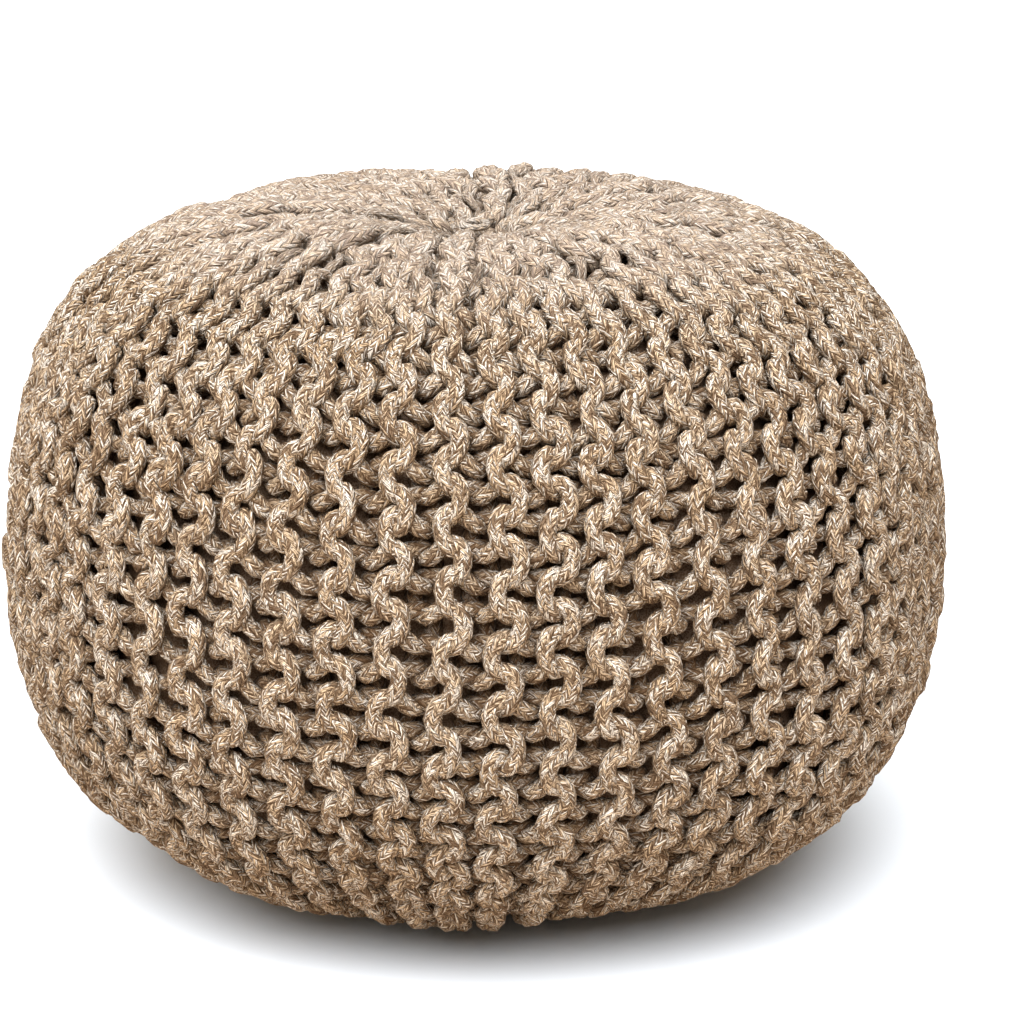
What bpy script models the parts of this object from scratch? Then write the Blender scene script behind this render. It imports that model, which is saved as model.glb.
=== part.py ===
"""Knitted pouf.

A ribbed cover of knitted cotton cord is drawn together at each pole by a small ring of cord, over
a filled lining bag. The knitting's poles lean a little from the upright, as the bag has settled.

Every surface is given by a direction from the pouf's middle and by a depth below its smooth outline,
measured towards that middle. Units are metres, +Z is up, and the pouf stands on Z = 0.
"""

import math

import bmesh
import bpy
from mathutils import Matrix, Vector

# Driving sizes
DIAMETER = 0.4572           # 18 in across the ribs' crests
HEIGHT = 0.338              # floor to crown
BELLY_HEIGHT = 0.148        # where the pouf is widest
CROWN_RADIUS = 0.030        # flat middle of the top
CROWN_POWER = 2.95          # a higher power gives a squarer shoulder
FLOOR_RADIUS = 0.055        # flat patch that stands on the floor
FLOOR_POWER = 2.2

KNIT_LEAN = math.radians(6.5)   # the knitting's top pole leans this far towards -Y
RIB_COUNT = 56                  # knitted ridges, each from pole to pole
FIRST_RIB = math.pi / RIB_COUNT # azimuth of the first crest, so that a valley runs down the front
RIB_DEPTH = 0.0085
RIB_SHAPE = (0.0, 0.35, 1.0, 0.35)  # share of the depth at the crest, flank, valley and flank

COVER_THICKNESS = 0.018     # crest to lining
HOLE_RADIUS = 0.0080        # mouth that holds each gathering ring, with 0.4 mm to spare
GAP = 0.0003                # between cover and lining

RING_RADIUS = 0.0053        # gathering ring, at the middle of its cord
RING_CORD_RADIUS = 0.0022
RING_SINK = 0.0015          # from the mouth's rim in to the middle of the ring's cord

# Pole ends: how deep and wide the gathered dimple is, and how far from the pole the ribs start to
# stand up and reach their full depth
TOP_END = {"dimple_depth": 0.012, "dimple_radius": 0.065, "ribs_from": 0.030, "ribs_full": 0.090}
FLOOR_END = {"dimple_depth": 0.008, "dimple_radius": 0.030, "ribs_from": 0.075, "ribs_full": 0.120}

# Facets
OUTER_ROWS = 22
INNER_ROWS = 13
HALF_RIBS_FROM = 0.13       # angle from a pole past which a rib has a crest and a valley
FULL_RIBS_FROM = 0.33       # angle from a pole past which its flanks are rounded too
RING_SEGMENTS = 24
RING_SIDES = 8

RADIUS = DIAMETER / 2
MIDDLE = Vector((0.0, 0.0, BELLY_HEIGHT))
LEAN = Matrix.Rotation(KNIT_LEAN, 3, "X")


def clear_scene():
    for old in list(bpy.data.objects):
        bpy.data.objects.remove(old)


def make_material(name, color, roughness):
    material = bpy.data.materials.new(name)
    material.use_nodes = True
    shader = material.node_tree.nodes["Principled BSDF"]
    shader.inputs["Base Color"].default_value = (*color, 1.0)
    shader.inputs["Roughness"].default_value = roughness
    shader.inputs["Metallic"].default_value = 0.0
    return material


def add_object(name, mesh, material):
    piece = bpy.data.objects.new(name, mesh)
    bpy.context.scene.collection.objects.link(piece)
    mesh.materials.append(material)
    mesh.shade_smooth()
    return piece


def finish_mesh(name, body, material):
    """Turn a bmesh into a named object with its faces pointing out."""
    bmesh.ops.recalc_face_normals(body, faces=body.faces)
    mesh = bpy.data.meshes.new(name)
    body.to_mesh(mesh)
    body.free()
    return add_object(name, mesh, material)


# The smooth outline

def outline_reach(direction):
    """Distance from the middle to the smooth outline, found by halving."""
    up = direction.z
    out = math.hypot(direction.x, direction.y)
    if up > 0:
        flat, rise, power = CROWN_RADIUS, HEIGHT - BELLY_HEIGHT, CROWN_POWER
    else:
        flat, rise, power = FLOOR_RADIUS, BELLY_HEIGHT, FLOOR_POWER
    near, far = 0.0, DIAMETER
    for _ in range(48):
        trial = (near + far) / 2
        outward = max(trial * out - flat, 0.0) / (RADIUS - flat)
        upward = trial * abs(up) / rise
        if outward ** power + upward ** power < 1.0:
            near = trial
        else:
            far = trial
    return near


def knit_direction(azimuth, polar):
    """Direction of a point of the knitting: azimuth from -Y, polar angle from its top pole."""
    flat = math.sin(polar)
    upright = Vector((flat * math.sin(azimuth), -flat * math.cos(azimuth), math.cos(polar)))
    return LEAN @ upright


def knit_point(azimuth, polar, depth):
    direction = knit_direction(azimuth, polar)
    return MIDDLE + direction * (outline_reach(direction) - depth)


# Depths below the outline

def nearer_end(polar):
    """The pole end that a row belongs to, and its angle from that pole."""
    if polar < math.pi / 2:
        return TOP_END, polar
    return FLOOR_END, math.pi - polar


def pole_reach(polar):
    pole = 0.0 if polar < math.pi / 2 else math.pi
    return outline_reach(knit_direction(0.0, pole))


def dimple_depth(polar):
    end, angle = nearer_end(polar)
    distance = angle * pole_reach(polar)
    if distance >= end["dimple_radius"]:
        return 0.0
    return end["dimple_depth"] * (1 + math.cos(math.pi * distance / end["dimple_radius"])) / 2


def rib_share(polar):
    """0 where the ribs are gathered flat, 1 where they have their full depth."""
    end, angle = nearer_end(polar)
    distance = angle * pole_reach(polar)
    share = (distance - end["ribs_from"]) / (end["ribs_full"] - end["ribs_from"])
    share = min(max(share, 0.0), 1.0)
    return share * share * (3 - 2 * share)


def hole_angle(pole):
    """Angle from a pole to the rim of its hole."""
    end, _ = nearer_end(pole)
    return HOLE_RADIUS / (pole_reach(pole) - end["dimple_depth"])


# Rows of points and the faces between them

def points_per_rib(polar):
    _, angle = nearer_end(polar)
    if angle > FULL_RIBS_FROM:
        return 4
    if angle > HALF_RIBS_FROM:
        return 2
    return 1


def outer_row(body, polar):
    """One ring of the cover's outside, over crests, flanks and valleys."""
    per_rib = points_per_rib(polar)
    step = len(RIB_SHAPE) // per_rib
    row = []
    for index in range(RIB_COUNT * per_rib):
        azimuth = FIRST_RIB + 2 * math.pi * index / (RIB_COUNT * per_rib)
        rib = RIB_SHAPE[index % per_rib * step] if per_rib > 1 else 0.0
        depth = dimple_depth(polar) + RIB_DEPTH * rib * rib_share(polar)
        row.append(body.verts.new(knit_point(azimuth, polar, depth)))
    return row


def smooth_row(body, polar, depth):
    """One ring at an even depth, with a point for each rib."""
    row = []
    for index in range(RIB_COUNT):
        azimuth = FIRST_RIB + 2 * math.pi * index / RIB_COUNT
        row.append(body.verts.new(knit_point(azimuth, polar, depth)))
    return row


def bridge_rows(body, first, second):
    """Join two rings whose point counts are equal, or one a multiple of the other."""
    coarse, fine = (first, second) if len(first) <= len(second) else (second, first)
    ratio = len(fine) // len(coarse)
    for index, corner in enumerate(coarse):
        start = index * ratio
        for step in range(ratio):
            body.faces.new((corner, fine[start + step], fine[(start + step + 1) % len(fine)]))
        following = coarse[(index + 1) % len(coarse)]
        body.faces.new((corner, fine[(start + ratio) % len(fine)], following))


def bridge_all(body, rows):
    for first, second in zip(rows, rows[1:]):
        bridge_rows(body, first, second)


def spread(first, last, count):
    return [first + (last - first) * index / (count - 1) for index in range(count)]


def wall_rows(count):
    """Polar angles of a wall's rows, from the rim of the top hole to that of the floor hole."""
    return spread(hole_angle(0.0), math.pi - hole_angle(math.pi), count)


# The pieces

def make_cover(material):
    """The knitted cover: ribbed outside, smooth inside, open at both poles."""
    body = bmesh.new()
    rows = [outer_row(body, polar) for polar in wall_rows(OUTER_ROWS)]
    rows += [smooth_row(body, polar, COVER_THICKNESS) for polar in reversed(wall_rows(INNER_ROWS))]
    bridge_all(body, rows)
    bridge_rows(body, rows[-1], rows[0])
    return finish_mesh("knit_cover", body, material)


def make_lining(material):
    """The filled lining bag, which shows between the stitches."""
    body = bmesh.new()
    depth = COVER_THICKNESS + GAP
    rows = [smooth_row(body, polar, depth) for polar in reversed(wall_rows(INNER_ROWS))]
    bridge_all(body, rows)
    for pole, row in ((math.pi, rows[0]), (0.0, rows[-1])):
        tip = body.verts.new(knit_point(0.0, pole, depth))
        for index, corner in enumerate(row):
            body.faces.new((tip, corner, row[(index + 1) % len(row)]))
    return finish_mesh("lining_bag", body, material)


def make_gathering_ring(name, pole, material):
    """A closed ring of cord that lies level in the mouth at one pole, held by its rim."""
    seat = knit_point(0.0, pole, dimple_depth(pole) + RING_SINK)
    body = bmesh.new()
    rows = []
    for segment in range(RING_SEGMENTS):
        turn = 2 * math.pi * segment / RING_SEGMENTS
        row = []
        for side in range(RING_SIDES):
            around = 2 * math.pi * side / RING_SIDES
            radius = RING_RADIUS + RING_CORD_RADIUS * math.cos(around)
            rise = RING_CORD_RADIUS * math.sin(around)
            offset = Vector((radius * math.cos(turn), radius * math.sin(turn), rise))
            row.append(body.verts.new(seat + offset))
        rows.append(row)
    bridge_all(body, rows)
    bridge_rows(body, rows[-1], rows[0])
    return finish_mesh(name, body, material)


def main():
    clear_scene()
    cord = make_material("cotton_cord", (0.53, 0.40, 0.28), 0.9)
    lining = make_material("lining_cloth", (0.50, 0.36, 0.27), 0.85)
    make_cover(cord)
    make_lining(lining)
    make_gathering_ring("gathering_ring_top", 0.0, cord)
    make_gathering_ring("gathering_ring_floor", math.pi, cord)


main()
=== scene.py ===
"""Knitted pouf: its looks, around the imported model.

The cover is knitted from one braided cotton cord in garter stitch. Its courses run from pole to pole,
in pairs: a plain course whose heads stand at the front and a purl course whose sinkers stand there
too, so that each pair makes one ridge. Most ridges are short rows, which end before they reach a
pole. Every course is worked out as a line on the pouf's outline, and a cord is swept along it.
Units are metres, +Z is up, and -Y is the front.
"""

import math

import bpy
import numpy as np
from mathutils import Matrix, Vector


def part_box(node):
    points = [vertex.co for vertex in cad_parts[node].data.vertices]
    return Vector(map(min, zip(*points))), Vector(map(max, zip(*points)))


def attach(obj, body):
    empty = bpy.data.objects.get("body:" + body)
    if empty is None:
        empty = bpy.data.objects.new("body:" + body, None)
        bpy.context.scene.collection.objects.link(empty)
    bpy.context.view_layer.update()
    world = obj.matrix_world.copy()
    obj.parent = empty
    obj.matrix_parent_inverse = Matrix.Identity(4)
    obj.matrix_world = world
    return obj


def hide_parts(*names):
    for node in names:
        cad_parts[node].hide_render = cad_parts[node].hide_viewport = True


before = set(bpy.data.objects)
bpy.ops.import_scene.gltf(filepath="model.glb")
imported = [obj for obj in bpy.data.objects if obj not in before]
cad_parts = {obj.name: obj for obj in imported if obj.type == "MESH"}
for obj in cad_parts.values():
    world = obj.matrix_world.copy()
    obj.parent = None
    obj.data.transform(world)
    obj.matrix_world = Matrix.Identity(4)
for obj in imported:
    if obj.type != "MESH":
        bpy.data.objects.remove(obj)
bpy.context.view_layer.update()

# Outline, as in the CAD
COVER_LOW, COVER_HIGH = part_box("knit_cover")
RADIUS = (COVER_HIGH.x - COVER_LOW.x) / 2
HEIGHT = COVER_HIGH.z - COVER_LOW.z
BELLY_HEIGHT = 0.148        # where the pouf is widest
CROWN_RADIUS = 0.030        # flat middle of the top
CROWN_POWER = 2.95          # a higher power gives a squarer shoulder
FLOOR_RADIUS = 0.055        # flat patch that stands on the floor
FLOOR_POWER = 2.2
KNIT_LEAN = math.radians(6.5)   # the knitting's top pole leans this far towards -Y
TOP_END = {"dimple_depth": 0.012, "dimple_radius": 0.090}
FLOOR_END = {"dimple_depth": 0.008, "dimple_radius": 0.030}
MIDDLE = np.array([0.0, 0.0, BELLY_HEIGHT])
POLE_ANGLES = (0.0, math.pi)    # of the top and of the floor pole
HALVINGS = 40               # steps in which the outline is found
TABLE_POINTS = 601          # polar angles at which the courses' places and widths are worked out

# Knitting
RIDGES = 56
COURSES = 2 * RIDGES
COURSE_TURN = 2 * math.pi / COURSES     # azimuth from one course to the next
FIRST_RIDGE = math.pi / RIDGES          # azimuth of the first ridge's crest
STITCHES = 24.7                         # along a course, from pole to pole
STITCH_PITCH = 0.027
COURSE_PITCH = math.pi * 2 * RADIUS / COURSES
STITCH_PHASE = 0.40                     # where the first plain head lies, less half a stitch
FRONT_CORD_RADIUS = 0.0041              # where a loop comes to the front
BACK_CORD_RADIUS = 0.0040               # where it goes to the back
THINNEST_CORD = 0.0012                  # pressed together at the poles
CORD_SQUEEZE = 0.58                     # most that the radius is of the course spacing, where that is tight
LOOP_REACH = 0.88                       # half a loop's reach across, in course spacings
LOW_SHARE = 0.84                        # of that reach, below the belly, where the loops hang open
LOW_SINK = 0.0020                       # the cover is drawn in this much there
LOW_POLAR = (1.85, 2.25)                # angles from the top pole over which both set in
FOOT_POLAR = (2.35, 2.62)               # and over which the sink ends, towards the floor
FRONT_SWELL = 0.175                     # how far the front loops lean over their necks, in stitches
BACK_SWELL = 0.190
BACK_DROP = 0.20                        # the back loops hang this far below, in stitches
LOOP_ROUND = 0.05                       # rounder heads
LAYER = 0.0058                          # front and back loops stand this far from the middle layer
LAYER_SHAPE = (1.0, 0.12, -0.14)        # cosine terms 1, 3 and 5 of a course's rise from back to front
BACK_SPLIT = 0.0022                     # at the back, one cord of each crossing pair lies over the other
LEG_SHADE = 0.3                         # and the one underneath gets this much more painted shade

SECTORS = 7                             # pieces that the cover is made in
SEGMENTS_PER_STITCH = 20
CORD_SIDES = 8
CORD_GIRTH = 2 * math.pi * FRONT_CORD_RADIUS
LONGEST_FACE = 0.010                    # no face is longer along the cord
BAKE_MARGIN = 0.04                      # between the rows of the bake map, as a share of a row
FLOOR_GAP = 0.0003                      # the lowest loops are pressed flat this far above the floor

# Where a stitch's segments go: by how much the cord bends, by its length, and more at the front
STEP_TRIALS = 721
LENGTH_WEIGHT = 0.6
BACK_WEIGHT, FRONT_WEIGHT = 0.8, 0.4

# Short rows: most ridges end before they reach a gathering ring, so that the rest have room there
END_RADII = (0.092, 0.040, 0.088, 0.0025, 0.094, 0.037, 0.086, 0.012)
END_UNEVEN = 0.004
END_DIVE = 0.003                        # the ends go under their neighbours
END_ZONE = 0.020                        # over this much, the last stitches are pulled straight
END_SHARE = 0.40                        # width left to a ridge at its end
END_SPREAD = 0.035                      # from its end to where it has its full width
END_CLOSE = 0.010                       # past its end, its neighbours have taken its place
END_LEAST = 1e-4                        # share that keeps its width above zero there
END_NARROW = 0.6                        # share of its reach that the last stitch gives up
TURN_ANGLES = (45.0, 90.0, 135.0)       # points round the hairpin that joins two courses
TURN_BULGE = 0.8                        # its depth, as a share of its half width
# painted shade depth of the hairpins between courses
TURN_SHADE_DEPTH = 0.5
MOUTH_SINK = 0.0038                     # the cords lie this much lower beside a gathering ring
MOUTH_ZONE = (0.008, 0.034)             # and come up again between these distances from the pole
MOUTH_DARK = (0.007, 0.020)             # they get painted shade up to the first, and none past the second

# A shallow sag behind the mouth, where the crown's far edge dips
SAG_DEPTH = 0.0034
SAG_AZIMUTH, SAG_POLAR = math.pi + 0.12, 0.73
SAG_REACH = (0.34, 0.50)                # in azimuth and polar angle, from its middle

# Unevenness of the hand-made cover
WANDER_ALONG, ALONG_SEED = 0.11, 11     # in stitches
WANDER_ACROSS, ACROSS_SEED = 0.0018, 12
WANDER_GIRTH = (0.01, 0.1)              # distances from the axis over which the last one sets in
WANDER_DEPTH, DEPTH_SEED = 0.0010, 13
WAVES = 14                              # that each of these is made of
LOOSE_REACH = 0.075                     # each loop's own, as a share of its reach
LOOSE_ALONG = 0.032                     # in stitches
LOOSE_DEPTH = 0.0006
LUMPS = 0.085                           # most that the cord's radius swells or shrinks, as a share
COURSE_SEED = 1000
END_SEED = 500

# Lining
LINING_DEPTH = 0.0190
LINING_PUFF = 0.0015                    # it swells between the cords
LINING_FULL = (0.06, 0.15)              # distances from the axis over which that sets in
LINING_ROWS = 60
LINING_POINTS_PER_RIDGE = 4

# Cord's braid
BRAID_OUTPUTS = ("Height", "Across", "Along", "Strand")
LEFT_STRANDS_FROM = 20.0                # numbers of the strands that wind to the left
STRAND_POWER = 2.4                      # a higher power gives a flatter strand
STRAND_DIVE = 0.45                      # share of its height that it loses where it goes under
YARNS_PER_STRAND = 3.0
YARN_SLANT = 0.20                       # across its strand over one crossing, in strand widths
YARN_RISE = 0.30                        # where a strand's height is 1
BRAID_RELIEF = 0.0011

# Cord's colours
BEIGES = ((0.565, 0.40, 0.243, 1), (0.66, 0.495, 0.33, 1))
BEIGE_PATCHES = (0.35, 0.65)            # from the first beige to the second between these values
CREAM = (0.84, 0.75, 0.635, 1)
CREAM_TONES = (0.51, 0.575)             # a yarn turns cream between these tones
BROWN = (0.19, 0.12, 0.07, 1)
BROWN_TONES = (0.475, 0.42)             # and brown between these
BROWN_SHARE = 0.95
OWN_TONE, SHARED_TONE = 0.60, 0.50      # parts of a yarn's tone that are its own and its strand's
ODD_TONE, TONE_DROP = 0.08, 0.09        # every other yarn is lighter, and all are set back a little
OWN_BEAT, SHARED_BEAT = 130.0, 90.0     # changes of tone to a metre of cord
FIBRE_BEAT, FIBRES_ACROSS = 900.0, 2.2  # flecks to a metre of cord, and across a yarn
STRAND_APART, YARN_APART = 3.7, 5.3     # steps in the noise, so that no two look alike
LIT_CROWN_HEIGHTS = (0.302, 0.334)          # painted light: the crown is paler between these heights, as if lit from above
LIT_CROWN_TINT = (0.53, 0.437, 0.375, 1)
LIT_CROWN_SHARE = 0.42

# Painted shade in the cord, as the share of its own colour that it takes away
SHADE_TINT = (0.062, 0.026, 0.006, 1)
YARN_SHADE, YARN_EDGE = 0.78, (0.0, 0.7)        # between yarns, over these heights of a yarn
STRAND_SHADE, STRAND_EDGE = 0.65, (0.0, 0.45)   # between strands
FIBRE_SHADE, FIBRE_EDGE = 0.84, (0.41, 0.53)    # between fibres
LOOP_SHADE, LOOP_EDGE = 0.84, (0.2, 1.2)        # in the loops' depths
LIT_CROWN_LESS_LOOP_SHADE, LIT_CROWN_LESS_RELIEF_SHADE = 0.60, 0.40     # the crown, painted as if lit from above, has less of both kinds of painted shade

# Lining's colours, painted dark brown for the shade it lies in behind the cords
LINING_PAINTED_SHADE_TINTS = ((0.12, 0.065, 0.035, 1), (0.17, 0.10, 0.055, 1))
LINING_CLOUDS = (0.3, 0.7)
SLUB_TINT = (0.30, 0.21, 0.145, 1)
SLUB_EDGE = (0.42, 0.6)
SLUB_SHARE = 0.7
SLUB_RELIEF = 0.0002

# Gathering rings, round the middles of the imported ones
RING_RADIUS = 0.0058
RING_CORD_RADIUS = 0.0018
RING_RISE = {"gathering_ring_top": 0.0020, "gathering_ring_floor": 0.0}
RING_SEGMENTS = 40

# Camera, fitted to the outline in the photograph
CAMERA_ELEVATION = math.radians(15.0)
CAMERA_DISTANCE = 1.8
CAMERA_AIM = 0.178
PHOTO_WIDTH, PHOTO_HEIGHT = 1018, 1024
PHOTO_FOCAL = 3675                      # in pixels
PHOTO_CENTRE = (475.1, 515.9)           # where the camera's axis meets the photograph
SENSOR = 36.0

# Light
SKY_LIGHT = 0.45
SKY_TINT = (1.0, 0.905, 0.78)
SKY_SLOPE = 0.6                         # brighter on the left
SUN_LIGHT = 7.6
SUN_TINT = (0.97, 1.0, 1.04)
SUN_WAY = Vector((-0.09, -0.63, 1.0))   # towards the sun
SUN_SPREAD = math.radians(64)
FLOOR_REACH = 30.0
FLOOR_WHITE = (0.88, 0.91, 0.94, 1)     # as the camera sees it
FLOOR_BOUNCE = (0.61, 0.51, 0.42, 1)    # as it lights the pouf


# The outline

def outline_reach(direction):
    """Distance from the middle to the smooth outline along each direction, found by halving."""
    up = direction[..., 2]
    out = np.hypot(direction[..., 0], direction[..., 1])
    above = up > 0
    flat = np.where(above, CROWN_RADIUS, FLOOR_RADIUS)
    rise = np.where(above, HEIGHT - BELLY_HEIGHT, BELLY_HEIGHT)
    power = np.where(above, CROWN_POWER, FLOOR_POWER)
    near, far = np.zeros(up.shape), np.full(up.shape, 2 * RADIUS)
    for _ in range(HALVINGS):
        trial = (near + far) / 2
        outward = np.maximum(trial * out - flat, 0.0) / (RADIUS - flat)
        inside = outward ** power + (trial * np.abs(up) / rise) ** power < 1.0
        near, far = np.where(inside, trial, near), np.where(inside, far, trial)
    return near


def outline_normal(place):
    """Outward direction of the smooth outline at each of its points."""
    up = place[..., 2] - BELLY_HEIGHT
    out = np.hypot(place[..., 0], place[..., 1])
    above = up > 0
    flat = np.where(above, CROWN_RADIUS, FLOOR_RADIUS)
    rise = np.where(above, HEIGHT - BELLY_HEIGHT, BELLY_HEIGHT)
    power = np.where(above, CROWN_POWER, FLOOR_POWER)
    outward = (np.maximum(out - flat, 0.0) / (RADIUS - flat)) ** (power - 1) / (RADIUS - flat)
    upward = np.sign(up) * (np.abs(up) / rise) ** (power - 1) / rise
    ways = place[..., :2] / np.maximum(out, 1e-9)[..., None]
    normal = np.concatenate([ways * outward[..., None], upward[..., None]], axis=-1)
    return normal / np.linalg.norm(normal, axis=-1, keepdims=True)


def knit_direction(azimuth, polar):
    """Directions in the knitting: azimuth from -Y, polar angle from its leaning top pole."""
    x = np.sin(polar) * np.sin(azimuth)
    y = -np.sin(polar) * np.cos(azimuth)
    z = np.cos(polar)
    lean_cos, lean_sin = math.cos(KNIT_LEAN), math.sin(KNIT_LEAN)
    return np.stack([x, lean_cos * y - lean_sin * z, lean_sin * y + lean_cos * z], axis=-1)


POLE_WAYS = knit_direction(np.zeros(2), np.array(POLE_ANGLES))
POLE_REACH = outline_reach(POLE_WAYS)


def pole_distance(polar):
    """Distance over the knitting from the nearer pole."""
    return np.where(polar < math.pi / 2, polar * POLE_REACH[0], (math.pi - polar) * POLE_REACH[1])


def dimple(polar):
    distance = pole_distance(polar)
    above = polar < math.pi / 2
    depth = np.where(above, TOP_END["dimple_depth"], FLOOR_END["dimple_depth"])
    radius = np.where(above, TOP_END["dimple_radius"], FLOOR_END["dimple_radius"])
    return depth * (1 + np.cos(math.pi * np.minimum(distance / radius, 1.0))) / 2


def knit_place(azimuth, polar, depth):
    """Points at a depth under the dimpled outline, measured square to the smooth one."""
    azimuth, polar, depth = np.broadcast_arrays(azimuth, polar, depth)
    direction = knit_direction(azimuth, polar)
    surface = MIDDLE + direction * outline_reach(direction)[..., None]
    return surface - outline_normal(surface) * (depth + dimple(polar))[..., None]


def girth_radius(azimuth, polar):
    """Distance from the knitting's axis."""
    return outline_reach(knit_direction(azimuth, polar)) * np.sin(polar)


# Unevenness

def smooth_step(low, high, value):
    share = np.clip((value - low) / (high - low), 0.0, 1.0)
    return share * share * (3 - 2 * share)


def ripple(seed, azimuth, row, busiest=14, steepest=0.16):
    """A smooth random field over the knitting, about -1 to 1, that closes round the pouf."""
    dice = np.random.default_rng(seed)
    total = np.zeros(np.broadcast(azimuth, row).shape)
    for _ in range(WAVES):
        turns = dice.integers(-busiest, busiest + 1)
        climb = dice.uniform(-steepest, steepest)
        total = total + np.sin(turns * azimuth + 2 * math.pi * (climb * row + dice.uniform(0, 1)))
    return total * math.sqrt(2 / WAVES)


def loose(dice, row):
    """A value of its own for each half stitch, passed smoothly from one to the next."""
    spare = 2                           # values before the first half stitch
    values = dice.normal(0.0, 1.0, 2 * math.ceil(STITCHES) + 4 * spare)
    place = 2 * row + spare
    index = np.floor(place).astype(int)
    share = place - index
    share = share * share * (3 - 2 * share)
    return values[index] * (1 - share) + values[index + 1] * share


def sag(azimuth, polar):
    """How much deeper the crown lies in its shallow sag."""
    aside = (azimuth - SAG_AZIMUTH + math.pi) % (2 * math.pi) - math.pi
    across = np.minimum(np.abs(aside) / SAG_REACH[0], 1.0)
    along = np.minimum(np.abs(polar - SAG_POLAR) / SAG_REACH[1], 1.0)
    return SAG_DEPTH * (1 + np.cos(math.pi * across)) * (1 + np.cos(math.pi * along)) / 4


# The knitting's lines

def stitch_shape(turn, side):
    """A course at each turn, a stitch being one turn: how far it runs ahead in stitches, its reach
    across, its depth from the middle layer, 0 to 1 from the back to the front, and how deep it lies
    for its painted shade. A plain course has side 1 and its heads at the front, a purl one has side
    -1 and its sinkers there."""
    angle = 2 * math.pi * turn
    front = (1 - side * np.cos(angle)) / 2
    along = (BACK_SWELL + (FRONT_SWELL - BACK_SWELL) * front) * np.sin(2 * angle)
    along = along + BACK_DROP * (1 - front)
    across = -(np.cos(angle) + LOOP_ROUND * np.cos(3 * angle))
    rise = sum(share * np.cos((2 * i + 1) * angle) for i, share in enumerate(LAYER_SHAPE))
    depth = side * (LAYER * rise - BACK_SPLIT * np.sin(angle) * (1 - front))
    # painted shade depth: none at the front of a loop, most at its back
    shade_depth = (1 - front) * (1 - LEG_SHADE * side * np.sin(angle))
    return along, across, depth, front, shade_depth


def stitch_steps(side):
    """Turns at which one stitch is drawn, closer together where the cord bends more."""
    turn = np.linspace(0.0, 1.0, STEP_TRIALS)
    along, across, depth, front, _ = stitch_shape(turn, side)
    line = np.stack([STITCH_PITCH * (turn + along), LOOP_REACH * COURSE_PITCH * across, depth], axis=-1)
    run = np.gradient(line, axis=0)
    speed = np.linalg.norm(run, axis=1)
    bend = np.linalg.norm(np.gradient(run / speed[:, None], axis=0), axis=1)
    weight = bend / bend.sum() + LENGTH_WEIGHT * speed / speed.sum()
    weight = weight * (BACK_WEIGHT + FRONT_WEIGHT * front)
    total = np.concatenate([[0.0], np.cumsum(weight[1:])])
    return np.interp(np.linspace(0.0, total[-1], SEGMENTS_PER_STITCH + 1)[:-1], total, turn)


def course_end(course, top):
    """How far from a pole a course stops. The two courses that are joined there stop together."""
    pair = course // 2 if top else (course + 1) // 2
    if END_RADII[pair % len(END_RADII)] == min(END_RADII):
        return min(END_RADII)
    dice = np.random.default_rng(END_SEED + 2 * (pair % RIDGES) + top)
    return END_RADII[pair % len(END_RADII)] + END_UNEVEN * dice.uniform(-1.0, 1.0)


def course_room():
    """Azimuth and angular width of every course along the polar angle. Each pole's short courses
    narrow towards their ends, and the others spread into their place."""
    distance = pole_distance(POLAR_TABLE)
    above = POLAR_TABLE < math.pi / 2
    shares = []
    for course in range(COURSES):
        stop = np.where(above, course_end(course, True), course_end(course, False))
        share = END_SHARE * smooth_step(stop - END_CLOSE, stop, distance)
        share = share + (1 - END_SHARE) * smooth_step(stop, stop + END_SPREAD, distance)
        shares.append(share + END_LEAST)
    shares = np.array(shares)
    widths = 2 * math.pi * shares / shares.sum(axis=0)
    return np.cumsum(widths, axis=0) - widths / 2, widths


POLAR_TABLE = np.linspace(0.0, math.pi, TABLE_POINTS)
COURSE_AZIMUTHS, COURSE_WIDTHS = course_room()


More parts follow.
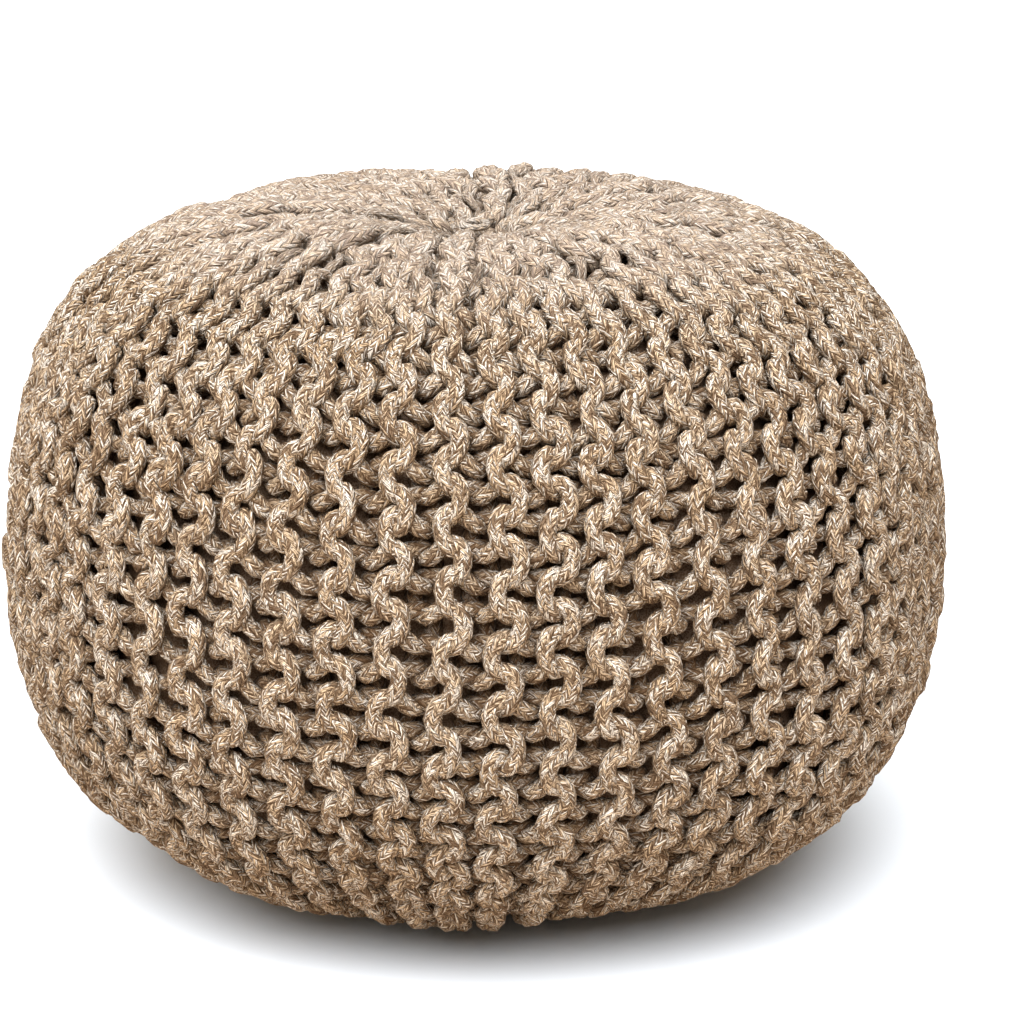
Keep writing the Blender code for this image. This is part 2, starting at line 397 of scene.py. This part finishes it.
def course_line(course):
    """One course from its top end to its floor end: its points, cord radii, and how deep each point
    lies for its painted shade."""
    side = 1 if course % 2 == 0 else -1
    azimuth = COURSE_TURN * (course + 0.5)
    table = knit_place(azimuth, POLAR_TABLE, 0.0)
    run = np.concatenate([[0.0], np.cumsum(np.linalg.norm(np.diff(table, axis=0), axis=1))])
    rows_table = STITCHES * run / run[-1]

    turns = (np.arange(-1, math.ceil(STITCHES) + 1)[:, None] + stitch_steps(side)[None, :]).ravel()
    along, across, layer, front, shade_depth = stitch_shape(turns, side)
    row = turns + STITCH_PHASE
    centre_polar = np.interp(row, rows_table, POLAR_TABLE)
    above = centre_polar < math.pi / 2
    stop = np.where(above, course_end(course, True), course_end(course, False))
    distance = pole_distance(centre_polar)
    kept = (row > 0) & (row < STITCHES) & (distance > stop)
    row, along, across, layer, front, shade_depth, stop, distance = (
        value[kept] for value in (row, along, across, layer, front, shade_depth, stop, distance))

    dice = np.random.default_rng(COURSE_SEED + course)
    straight = 1 - smooth_step(0.0, END_ZONE, distance - stop)
    row_shift = (1 - straight) * (along + LOOSE_ALONG * loose(dice, row))
    row_shift = row_shift + WANDER_ALONG * ripple(ALONG_SEED, azimuth, row)
    polar = np.interp(row + row_shift, rows_table, POLAR_TABLE)
    girth = girth_radius(azimuth, polar)
    width = np.interp(polar, POLAR_TABLE, COURSE_WIDTHS[course])
    reach = LOOP_REACH * (1 - (1 - LOW_SHARE) * smooth_step(*LOW_POLAR, polar))
    reach = reach * (1 - END_NARROW * straight) * (1 + LOOSE_REACH * loose(dice, row))
    turned = np.interp(polar, POLAR_TABLE, COURSE_AZIMUTHS[course]) + width * reach * across
    wander = WANDER_ACROSS * ripple(ACROSS_SEED, azimuth, row)
    turned = turned + wander * smooth_step(*WANDER_GIRTH, girth) / girth

    squeezed = np.maximum(CORD_SQUEEZE * width * girth, THINNEST_CORD)
    radius = np.minimum(BACK_CORD_RADIUS + (FRONT_CORD_RADIUS - BACK_CORD_RADIUS) * front, squeezed)
    layer = (1 - straight) * layer - side * straight * LAYER
    depth = LAYER * sum(LAYER_SHAPE) + np.minimum(FRONT_CORD_RADIUS, squeezed) + layer
    depth = depth + WANDER_DEPTH * ripple(DEPTH_SEED, azimuth, row) + LOOSE_DEPTH * loose(dice, row)
    drawn_in = smooth_step(*LOW_POLAR, polar) * (1 - smooth_step(*FOOT_POLAR, polar))
    depth = depth + sag(turned, polar) + LOW_SINK * drawn_in + END_DIVE * straight * (stop > min(END_RADII))
    depth = depth + MOUTH_SINK * (1 - smooth_step(*MOUTH_ZONE, pole_distance(polar)))
    # painted shade on the drawn-in ends beside a gathering ring
    shade_depth = shade_depth + 1 - smooth_step(*MOUTH_DARK, pole_distance(polar))
    radius = radius * (1 + LUMPS * dice.uniform(-1.0, 1.0, len(radius)))
    return knit_place(turned, polar, depth), radius, shade_depth


def hairpin(first, second, pole):
    """Points that turn from the end of one course into the next, round the drawn-in edge."""
    middle = (first + second) / 2
    half = np.linalg.norm(second - first) / 2
    inward = pole - middle
    inward = inward - (second - first) * (inward @ (second - first)) / (4 * half * half)
    inward = inward / np.linalg.norm(inward)
    angles = np.radians(TURN_ANGLES)[:, None]
    return middle + (first - middle) * np.cos(angles) + inward * TURN_BULGE * half * np.sin(angles)


def sector_line(sector):
    """The courses of one sector as one line, joined by a hairpin at alternate poles."""
    poles = [knit_place(0.0, pole, LAYER + THINNEST_CORD) for pole in POLE_ANGLES]
    per_sector = COURSES // SECTORS
    points, radii, shade_depth = [], [], []
    for index in range(per_sector):
        line, radius, deep = course_line(sector * per_sector + index)
        if index % 2 == 0:
            line, radius, deep = line[::-1], radius[::-1], deep[::-1]
        if points:
            pole = poles[0] if index % 2 == 1 else poles[1]
            points.append(hairpin(points[-1][-1], line[0], pole))
            radii.append(np.full(len(TURN_ANGLES), radius[0]))
            shade_depth.append(np.full(len(TURN_ANGLES), TURN_SHADE_DEPTH))
        points.append(line)
        radii.append(radius)
        shade_depth.append(deep)
    return np.concatenate(points), np.concatenate(radii), np.concatenate(shade_depth)


# Geometry Nodes

def input_id(tree, name):
    return next(item.identifier for item in tree.interface.items_tree if item.name == name)


def cord_sweeper():
    """Sweeps a round cord along the edges of a mesh. Stores the length run and the way round the
    cord, which its material reads."""
    tree = bpy.data.node_groups.new("sweep cord", "GeometryNodeTree")
    face = tree.interface
    face.new_socket("Line", in_out="INPUT", socket_type="NodeSocketGeometry")
    sides = face.new_socket("Sides", in_out="INPUT", socket_type="NodeSocketInt")
    sides.default_value = CORD_SIDES
    face.new_socket("Material", in_out="INPUT", socket_type="NodeSocketMaterial")
    face.new_socket("Cord", in_out="OUTPUT", socket_type="NodeSocketGeometry")

    nodes, link = tree.nodes, tree.links.new
    start = nodes.new("NodeGroupInput")
    curve = nodes.new("GeometryNodeMeshToCurve")
    link(start.outputs["Line"], curve.inputs["Mesh"])

    length = nodes.new("GeometryNodeSplineParameter")
    store_run = nodes.new("GeometryNodeStoreNamedAttribute")
    store_run.data_type = "FLOAT"
    store_run.domain = "POINT"
    store_run.inputs["Name"].default_value = "run"
    link(curve.outputs["Curve"], store_run.inputs["Geometry"])
    link(length.outputs["Length"], store_run.inputs["Value"])

    circle = nodes.new("GeometryNodeCurvePrimitiveCircle")
    circle.mode = "RADIUS"
    circle.inputs["Radius"].default_value = 1.0
    link(start.outputs["Sides"], circle.inputs["Resolution"])
    place = nodes.new("GeometryNodeInputPosition")
    store_around = nodes.new("GeometryNodeStoreNamedAttribute")
    store_around.data_type = "FLOAT_VECTOR"
    store_around.domain = "POINT"
    store_around.inputs["Name"].default_value = "around"
    link(circle.outputs["Curve"], store_around.inputs["Geometry"])
    link(place.outputs["Position"], store_around.inputs["Value"])

    thickness = nodes.new("GeometryNodeInputNamedAttribute")
    thickness.data_type = "FLOAT"
    thickness.inputs["Name"].default_value = "cord_radius"
    sweep = nodes.new("GeometryNodeCurveToMesh")
    sweep.inputs["Fill Caps"].default_value = True
    link(store_run.outputs["Geometry"], sweep.inputs["Curve"])
    link(store_around.outputs["Geometry"], sweep.inputs["Profile Curve"])
    link(thickness.outputs["Attribute"], sweep.inputs["Scale"])

    smooth = nodes.new("GeometryNodeSetShadeSmooth")
    link(sweep.outputs["Mesh"], smooth.inputs["Geometry"])
    realize = nodes.new("GeometryNodeRealizeInstances")
    link(smooth.outputs["Geometry"], realize.inputs["Geometry"])
    paint = nodes.new("GeometryNodeSetMaterial")
    link(realize.outputs["Geometry"], paint.inputs["Geometry"])
    link(start.outputs["Material"], paint.inputs["Material"])
    finish = nodes.new("NodeGroupOutput")
    link(paint.outputs["Geometry"], finish.inputs["Cord"])
    return tree


def plain_mesh(name, source, tree, settings):
    """The result of a Geometry Nodes tree on a source mesh, as an object with no modifier."""
    carrier = bpy.data.objects.new(name + "_source", source)
    bpy.context.scene.collection.objects.link(carrier)
    modifier = carrier.modifiers.new("shape", "NODES")
    modifier.node_group = tree
    for input_name, value in settings.items():
        modifier[input_id(tree, input_name)] = value
    evaluated = carrier.evaluated_get(bpy.context.evaluated_depsgraph_get())
    mesh = bpy.data.meshes.new_from_object(evaluated)
    mesh.name = name
    bpy.data.objects.remove(carrier)
    piece = bpy.data.objects.new(name, mesh)
    bpy.context.scene.collection.objects.link(piece)
    return piece


def line_mesh(name, points, radii, shade_depth, closed=False):
    """A line of edges that carries the cord's radius and each point's depth for painted shade."""
    count = len(points)
    edges = [(index, index + 1) for index in range(count - 1)]
    if closed:
        edges.append((count - 1, 0))
    mesh = bpy.data.meshes.new(name + "_line")
    mesh.from_pydata(points.tolist(), edges, [])
    for key, values in (("cord_radius", radii), ("shade_depth", shade_depth)):
        stored = mesh.attributes.new(key, "FLOAT", "POINT")
        stored.data.foreach_set("value", np.asarray(values, np.float32))
    return mesh


def press_on_floor(mesh):
    """Flattens what would reach below the floor."""
    places = np.empty(3 * len(mesh.vertices), np.float32)
    mesh.vertices.foreach_get("co", places)
    places = places.reshape(-1, 3)
    places[:, 2] = np.maximum(places[:, 2], FLOOR_GAP)
    mesh.vertices.foreach_set("co", places.ravel())
    mesh.update()


def read_values(mesh, name, width):
    """A point attribute of a mesh as an array."""
    values = np.empty(len(mesh.vertices) * width, np.float32)
    mesh.attributes[name].data.foreach_get("vector" if width == 3 else "value", values)
    return values.reshape(-1, width).astype(float)


def add_bake_map(mesh):
    """Lays the cord's skin out flat in rows, one length of cord above the other."""
    run = read_values(mesh, "run", 1)[:, 0]
    around = read_values(mesh, "around", 3)
    corner_points = np.empty(len(mesh.loops), np.int32)
    mesh.loops.foreach_get("vertex_index", corner_points)
    starts = np.empty(len(mesh.polygons), np.int32)
    mesh.polygons.foreach_get("loop_start", starts)
    face = np.repeat(np.arange(len(starts)), np.diff(np.append(starts, len(corner_points))))

    corner_run = run[corner_points]
    turn = (np.arctan2(around[:, 1], around[:, 0]) / (2 * math.pi))[corner_points]
    turn = turn[starts][face] + (turn - turn[starts][face] + 0.5) % 1.0 - 0.5
    middle = (np.minimum.reduceat(turn, starts) + np.maximum.reduceat(turn, starts)) / 2
    turn = np.clip(turn - np.floor(middle)[face], 0.0, 1.0)

    rows = math.ceil(math.sqrt(run.max() / CORD_GIRTH))
    row_length = run.max() / rows
    row = np.minimum(np.minimum.reduceat(corner_run, starts) // row_length, rows - 1)[face]
    across = (corner_run - row * row_length) / (row_length + LONGEST_FACE)
    up = (row + BAKE_MARGIN + (1 - 2 * BAKE_MARGIN) * turn) / rows
    layer = mesh.uv_layers.new(name="OFBake")
    layer.uv.foreach_set("vector", np.stack([across, up], axis=-1).astype(np.float32).ravel())


# Materials

def new_material(name):
    material = bpy.data.materials.new(name)
    material.use_nodes = True
    return material, material.node_tree.nodes["Principled BSDF"]


def feed(tree, socket, value):
    """Sets a socket to a number or colour, or links it to another node's output."""
    if isinstance(value, bpy.types.NodeSocket):
        tree.links.new(value, socket)
    else:
        socket.default_value = value


def calculate(tree, operation, *values):
    node = tree.nodes.new("ShaderNodeMath")
    node.operation = operation
    for socket, value in zip(node.inputs, values):
        feed(tree, socket, value)
    return node.outputs["Value"]


def ramp(tree, value, low, high):
    """0 below low, 1 above high, smooth in between."""
    node = tree.nodes.new("ShaderNodeMapRange")
    node.interpolation_type = "SMOOTHSTEP"
    feed(tree, node.inputs["Value"], value)
    node.inputs["From Min"].default_value = low
    node.inputs["From Max"].default_value = high
    return node.outputs["Result"]


def fade(tree, value, share):
    """1 where the value is 1, and less by the share where it is 0."""
    return calculate(tree, "MULTIPLY_ADD", value, share, 1 - share)


def vector(tree, x, y, z):
    node = tree.nodes.new("ShaderNodeCombineXYZ")
    for socket, value in zip(node.inputs, (x, y, z)):
        feed(tree, socket, value)
    return node.outputs["Vector"]


def noise(tree, place, scale, detail):
    node = tree.nodes.new("ShaderNodeTexNoise")
    feed(tree, node.inputs["Vector"], place)
    node.inputs["Scale"].default_value = scale
    node.inputs["Detail"].default_value = detail
    return node.outputs["Fac"]


def mix_colour(tree, share, first, second):
    node = tree.nodes.new("ShaderNodeMix")
    node.data_type = "RGBA"
    feed(tree, node.inputs["Factor"], share)
    feed(tree, node.inputs[6], first)
    feed(tree, node.inputs[7], second)
    return node.outputs[2]


def choose(tree, test, when_one, when_zero):
    node = tree.nodes.new("ShaderNodeMix")
    feed(tree, node.inputs["Factor"], test)
    feed(tree, node.inputs["A"], when_zero)
    feed(tree, node.inputs["B"], when_one)
    return node.outputs["Result"]


def attribute(tree, name, output):
    node = tree.nodes.new("ShaderNodeAttribute")
    node.attribute_name = name
    return node.outputs[output]


def bump(tree, height, distance):
    node = tree.nodes.new("ShaderNodeBump")
    node.inputs["Distance"].default_value = distance
    feed(tree, node.inputs["Height"], height)
    return node.outputs["Normal"]


def braid_group():
    """A tubular braid: each strand runs over two others and under two. Run is the length along the
    cord and Around its way round it, and both come from the sweep."""
    tree = bpy.data.node_groups.new("tubular braid", "ShaderNodeTree")
    face = tree.interface
    face.new_socket("Run", in_out="INPUT", socket_type="NodeSocketFloat")
    face.new_socket("Around", in_out="INPUT", socket_type="NodeSocketVector")
    face.new_socket("Strands each way", in_out="INPUT", socket_type="NodeSocketFloat")
    face.new_socket("Step along", in_out="INPUT", socket_type="NodeSocketFloat")
    for name in BRAID_OUTPUTS:
        face.new_socket(name, in_out="OUTPUT", socket_type="NodeSocketFloat")
    start = tree.nodes.new("NodeGroupInput")
    split = tree.nodes.new("ShaderNodeSeparateXYZ")
    tree.links.new(start.outputs["Around"], split.inputs["Vector"])
    strands, step = start.outputs["Strands each way"], start.outputs["Step along"]

    angle = calculate(tree, "ARCTAN2", split.outputs["Y"], split.outputs["X"])
    turn = calculate(tree, "DIVIDE", angle, 2 * math.pi)
    round_way = calculate(tree, "MULTIPLY", turn, strands)
    forward = calculate(tree, "DIVIDE", start.outputs["Run"], step)
    right = calculate(tree, "ADD", forward, round_way)
    left = calculate(tree, "SUBTRACT", forward, round_way)
    right_index, left_index = calculate(tree, "FLOOR", right), calculate(tree, "FLOOR", left)
    right_part, left_part = calculate(tree, "FRACT", right), calculate(tree, "FRACT", left)

    phase = calculate(tree, "FLOORED_MODULO", calculate(tree, "SUBTRACT", right_index, left_index), 4.0)
    right_over = calculate(tree, "LESS_THAN", phase, 1.5)
    across = choose(tree, right_over, right_part, left_part)
    right_along = calculate(tree, "SUBTRACT", calculate(tree, "ADD", left_part, 1.0), phase)
    left_along = calculate(tree, "SUBTRACT", calculate(tree, "ADD", right_part, phase), 2.0)
    along = choose(tree, right_over, right_along, left_along)
    right_strand = calculate(tree, "FLOORED_MODULO", right_index, strands)
    left_strand = calculate(tree, "FLOORED_MODULO", left_index, strands)
    left_strand = calculate(tree, "ADD", left_strand, LEFT_STRANDS_FROM)

    from_middle = calculate(tree, "SUBTRACT", calculate(tree, "MULTIPLY", across, 2.0), 1.0)
    side_drop = calculate(tree, "POWER", calculate(tree, "ABSOLUTE", from_middle), STRAND_POWER)
    side_rise = calculate(tree, "SUBTRACT", 1.0, side_drop)
    from_top = calculate(tree, "SUBTRACT", along, 1.0)
    end_rise = calculate(tree, "SUBTRACT", 1.0, calculate(tree, "MULTIPLY", from_top, from_top))
    rise = fade(tree, end_rise, STRAND_DIVE)

    finish = tree.nodes.new("NodeGroupOutput")
    feed(tree, finish.inputs["Height"], calculate(tree, "MULTIPLY", side_rise, rise))
    feed(tree, finish.inputs["Across"], across)
    feed(tree, finish.inputs["Along"], along)
    feed(tree, finish.inputs["Strand"], choose(tree, right_over, right_strand, left_strand))
    return tree


def cotton_cord(name, braid_tree, strands, step, paler=0.0):
    """Braided cotton: beige yarns flecked with cream and brown, painted shade in its hollows, painted light
    on the crown.
    """
    material, shader = new_material(name)
    tree = material.node_tree
    braid = tree.nodes.new("ShaderNodeGroup")
    braid.node_tree = braid_tree
    run = attribute(tree, "run", "Fac")
    feed(tree, braid.inputs["Run"], run)
    feed(tree, braid.inputs["Around"], attribute(tree, "around", "Vector"))
    braid.inputs["Strands each way"].default_value = strands
    braid.inputs["Step along"].default_value = step
    height, across, along, strand = (braid.outputs[key] for key in BRAID_OUTPUTS)

    # Each strand is made of yarns that lie a little aslant in it
    slanted = calculate(tree, "MULTIPLY_ADD", along, YARN_SLANT, across)
    yarn_place = calculate(tree, "MULTIPLY", slanted, YARNS_PER_STRAND)
    yarn = calculate(tree, "FLOOR", yarn_place)
    yarn_middle = calculate(tree, "MULTIPLY_ADD", calculate(tree, "FRACT", yarn_place), 2.0, -1.0)
    yarn_drop = calculate(tree, "MULTIPLY", yarn_middle, yarn_middle)
    yarn_rise = calculate(tree, "SUBTRACT", 1.0, yarn_drop)
    apart = calculate(tree, "MULTIPLY", strand, STRAND_APART)
    yarn_apart = calculate(tree, "MULTIPLY", yarn, YARN_APART)
    own_place = vector(tree, yarn_apart, calculate(tree, "MULTIPLY", run, OWN_BEAT), apart)
    shared_place = vector(tree, 0.0, calculate(tree, "MULTIPLY", run, SHARED_BEAT), apart)
    fibre_across = calculate(tree, "MULTIPLY", yarn_place, FIBRES_ACROSS)
    fibre_place = vector(tree, fibre_across, calculate(tree, "MULTIPLY", run, FIBRE_BEAT), apart)
    places = (own_place, shared_place, fibre_place)
    own, shared, fibre = (noise(tree, place, scale=1.0, detail=1.0) for place in places)
    tone = calculate(tree, "MULTIPLY_ADD", own, OWN_TONE, calculate(tree, "MULTIPLY", shared, SHARED_TONE))
    odd = calculate(tree, "FLOORED_MODULO", yarn, 2.0)
    tone = calculate(tree, "ADD", tone, calculate(tree, "MULTIPLY_ADD", odd, ODD_TONE, paler - TONE_DROP))

    place = tree.nodes.new("ShaderNodeTexCoord").outputs["Object"]
    split = tree.nodes.new("ShaderNodeSeparateXYZ")
    tree.links.new(place, split.inputs["Vector"])
    # Painted light: the crown is paler and less shaded, as if lit from above
    crown = ramp(tree, split.outputs["Z"], *LIT_CROWN_HEIGHTS)
    patches = ramp(tree, noise(tree, place, scale=28.0, detail=2.0), *BEIGE_PATCHES)
    colour = mix_colour(tree, patches, *BEIGES)
    colour = mix_colour(tree, ramp(tree, tone, *CREAM_TONES), colour, CREAM)
    brown = calculate(tree, "MULTIPLY", ramp(tree, tone, *BROWN_TONES), BROWN_SHARE)
    colour = mix_colour(tree, brown, colour, BROWN)
    colour = mix_colour(tree, calculate(tree, "MULTIPLY", crown, LIT_CROWN_SHARE), colour, LIT_CROWN_TINT)

    # Painted shade between yarns, strands and fibres, and deep in the loops
    between_yarns = fade(tree, ramp(tree, yarn_rise, *YARN_EDGE), YARN_SHADE)
    between_strands = fade(tree, ramp(tree, height, *STRAND_EDGE), STRAND_SHADE)
    fibres = fade(tree, ramp(tree, fibre, *FIBRE_EDGE), FIBRE_SHADE)
    deepest_shade = calculate(tree, "MULTIPLY_ADD", crown, LIT_CROWN_LESS_LOOP_SHADE, -LOOP_SHADE)
    shade_depth = ramp(tree, attribute(tree, "shade_depth", "Fac"), *LOOP_EDGE)
    inside = calculate(tree, "MULTIPLY_ADD", shade_depth, deepest_shade, 1.0)
    relief_shade = calculate(tree, "MULTIPLY", between_yarns, calculate(tree, "MULTIPLY", between_strands, fibres))
    relief_shade_share = calculate(tree, "MULTIPLY_ADD", crown, -LIT_CROWN_LESS_RELIEF_SHADE, 1.0)
    relief_shade = calculate(tree, "MULTIPLY_ADD", calculate(tree, "SUBTRACT", relief_shade, 1.0), relief_shade_share, 1.0)
    shade = calculate(tree, "MULTIPLY", relief_shade, inside)
    feed(tree, shader.inputs["Base Color"], mix_colour(tree, shade, SHADE_TINT, colour))

    surface = calculate(tree, "MULTIPLY_ADD", yarn_rise, YARN_RISE, height)
    feed(tree, shader.inputs["Normal"], bump(tree, surface, BRAID_RELIEF))
    shader.inputs["Roughness"].default_value = 0.88
    shader.inputs["Specular IOR Level"].default_value = 0.25
    return material


def lining_cloth():
    """Plain woven lining, painted dark brown for the shade it lies in behind the cords, with paler slubs."""
    material, shader = new_material("lining_cloth")
    tree = material.node_tree
    place = tree.nodes.new("ShaderNodeTexCoord").outputs["Object"]
    cloud = ramp(tree, noise(tree, place, scale=30.0, detail=3.0), *LINING_CLOUDS)
    slubs = noise(tree, place, scale=1300.0, detail=1.0)
    colour = mix_colour(tree, cloud, *LINING_PAINTED_SHADE_TINTS)
    slub_share = calculate(tree, "MULTIPLY", ramp(tree, slubs, *SLUB_EDGE), SLUB_SHARE)
    colour = mix_colour(tree, slub_share, colour, SLUB_TINT)
    feed(tree, shader.inputs["Base Color"], colour)
    feed(tree, shader.inputs["Normal"], bump(tree, slubs, SLUB_RELIEF))
    shader.inputs["Roughness"].default_value = 0.9
    shader.inputs["Specular IOR Level"].default_value = 0.2
    return material


# Pieces

def keep(piece, material_slot, *nodes, fill=None):
    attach(piece, "root")
    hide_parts(*nodes)


def make_cover(tree, material):
    for sector in range(SECTORS):
        name = f"knit_cover_{sector + 1}"
        piece = plain_mesh(name, line_mesh(name, *sector_line(sector)), tree, {"Material": material})
        press_on_floor(piece.data)
        add_bake_map(piece.data)
        keep(piece, "cotton_cord", "knit_cover", fill=0.9)


def make_lining(material):
    columns = RIDGES * LINING_POINTS_PER_RIDGE
    azimuth = FIRST_RIDGE + 2 * math.pi * np.arange(columns) / columns
    polar = np.linspace(0.0, math.pi, LINING_ROWS + 1)[1:-1]
    azimuth, polar = np.meshgrid(azimuth, polar)
    full = smooth_step(*LINING_FULL, girth_radius(azimuth, polar))
    puff = LINING_PUFF * full * np.cos(RIDGES * (azimuth - FIRST_RIDGE))
    points = knit_place(azimuth, polar, LINING_DEPTH - puff).reshape(-1, 3)
    tips = knit_place(0.0, np.array(POLE_ANGLES), LINING_DEPTH)
    rows = len(polar)
    faces = []
    for row in range(rows - 1):
        for column in range(columns):
            here, beside = row * columns + column, row * columns + (column + 1) % columns
            faces.append((here, here + columns, beside + columns, beside))
    last = (rows - 1) * columns
    for column in range(columns):
        beside = (column + 1) % columns
        faces.append((len(points), column, beside))
        faces.append((len(points) + 1, last + beside, last + column))
    mesh = bpy.data.meshes.new("lining")
    mesh.from_pydata(np.concatenate([points, tips]).tolist(), [], faces)
    mesh.materials.append(material)
    mesh.shade_smooth()
    piece = bpy.data.objects.new("lining", mesh)
    bpy.context.scene.collection.objects.link(piece)
    keep(piece, "lining_cloth", "lining_bag", fill=0.9)


def make_ring(tree, material, name, pole, node):
    """A gathering ring, square to the knitting's pole."""
    low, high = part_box(node)
    outward = Vector(POLE_WAYS[pole])
    seat = (Vector(low) + Vector(high)) / 2 + RING_RISE[node] * outward
    side = outward.cross(Vector((1, 0, 0))).normalized()
    turn = 2 * math.pi * np.arange(RING_SEGMENTS)[:, None] / RING_SEGMENTS
    ways = np.cos(turn) * np.array(side.cross(outward)) + np.sin(turn) * np.array(side)
    points = np.array(seat) + RING_RADIUS * ways
    thickness = np.full(RING_SEGMENTS, RING_CORD_RADIUS)
    line = line_mesh(name, points, thickness, 0 * thickness, closed=True)
    piece = plain_mesh(name, line, tree, {"Material": material})
    keep(piece, "cotton_cord", node)


# Stage

def make_floor():
    """A wide white floor, which lights the pouf from below less than it looks to the camera."""
    reach = FLOOR_REACH
    corners = [(-reach, -reach, 0), (reach, -reach, 0), (reach, reach, 0), (-reach, reach, 0)]
    mesh = bpy.data.meshes.new("studio_floor")
    mesh.from_pydata(corners, [], [(0, 1, 2, 3)])
    material, shader = new_material("studio_white")
    tree = material.node_tree
    path = tree.nodes.new("ShaderNodeLightPath")
    white = mix_colour(tree, path.outputs["Is Camera Ray"], FLOOR_BOUNCE, FLOOR_WHITE)
    feed(tree, shader.inputs["Base Color"], white)
    shader.inputs["Roughness"].default_value = 0.9
    shader.inputs["Specular IOR Level"].default_value = 0.1
    mesh.materials.append(material)
    floor = bpy.data.objects.new("studio_floor", mesh)
    bpy.context.scene.collection.objects.link(floor)


def make_studio():
    """White all round for the camera, and a softer white to light the pouf, with a wide soft sun."""
    world = bpy.data.worlds.new("studio")
    world.use_nodes = True
    tree = world.node_tree
    path = tree.nodes.new("ShaderNodeLightPath")
    split = tree.nodes.new("ShaderNodeSeparateXYZ")
    tree.links.new(tree.nodes.new("ShaderNodeTexCoord").outputs["Generated"], split.inputs["Vector"])
    level = calculate(tree, "MULTIPLY_ADD", split.outputs["X"], -SKY_SLOPE * SKY_LIGHT, SKY_LIGHT)
    sky = mix_colour(tree, level, (0, 0, 0, 1), (*SKY_TINT, 1))
    seen = mix_colour(tree, path.outputs["Is Camera Ray"], sky, (1, 1, 1, 1))
    feed(tree, tree.nodes["Background"].inputs["Color"], seen)
    bpy.context.scene.world = world

    data = bpy.data.lights.new("sun", "SUN")
    data.energy = SUN_LIGHT
    data.color = SUN_TINT
    data.angle = SUN_SPREAD
    sun = bpy.data.objects.new("sun", data)
    bpy.context.scene.collection.objects.link(sun)
    sun.rotation_euler = SUN_WAY.to_track_quat("Z", "Y").to_euler()


def make_camera():
    data = bpy.data.cameras.new("camera")
    data.sensor_width = SENSOR
    data.lens = PHOTO_FOCAL * SENSOR / PHOTO_HEIGHT
    data.shift_x = (PHOTO_WIDTH / 2 - PHOTO_CENTRE[0]) / PHOTO_HEIGHT
    data.shift_y = (PHOTO_CENTRE[1] - PHOTO_HEIGHT / 2) / PHOTO_HEIGHT
    camera = bpy.data.objects.new("camera", data)
    bpy.context.scene.collection.objects.link(camera)
    back = CAMERA_DISTANCE * math.cos(CAMERA_ELEVATION)
    camera.location = (0, -back, CAMERA_AIM + CAMERA_DISTANCE * math.sin(CAMERA_ELEVATION))
    camera.rotation_euler = (math.pi / 2 - CAMERA_ELEVATION, 0, 0)
    bpy.context.scene.camera = camera


def main():
    braid = braid_group()
    cord = cotton_cord("cotton_cord", braid, strands=10, step=0.0046)
    fine_cord = cotton_cord("fine_cotton_cord", braid, strands=6, step=0.0040, paler=0.08)
    tree = cord_sweeper()
    make_cover(tree, cord)
    make_lining(lining_cloth())
    make_ring(tree, fine_cord, "ring_top", 0, "gathering_ring_top")
    make_ring(tree, fine_cord, "ring_floor", 1, "gathering_ring_floor")
    make_floor()
    make_studio()
    make_camera()
    bpy.context.scene.view_settings.view_transform = "Standard"


main()
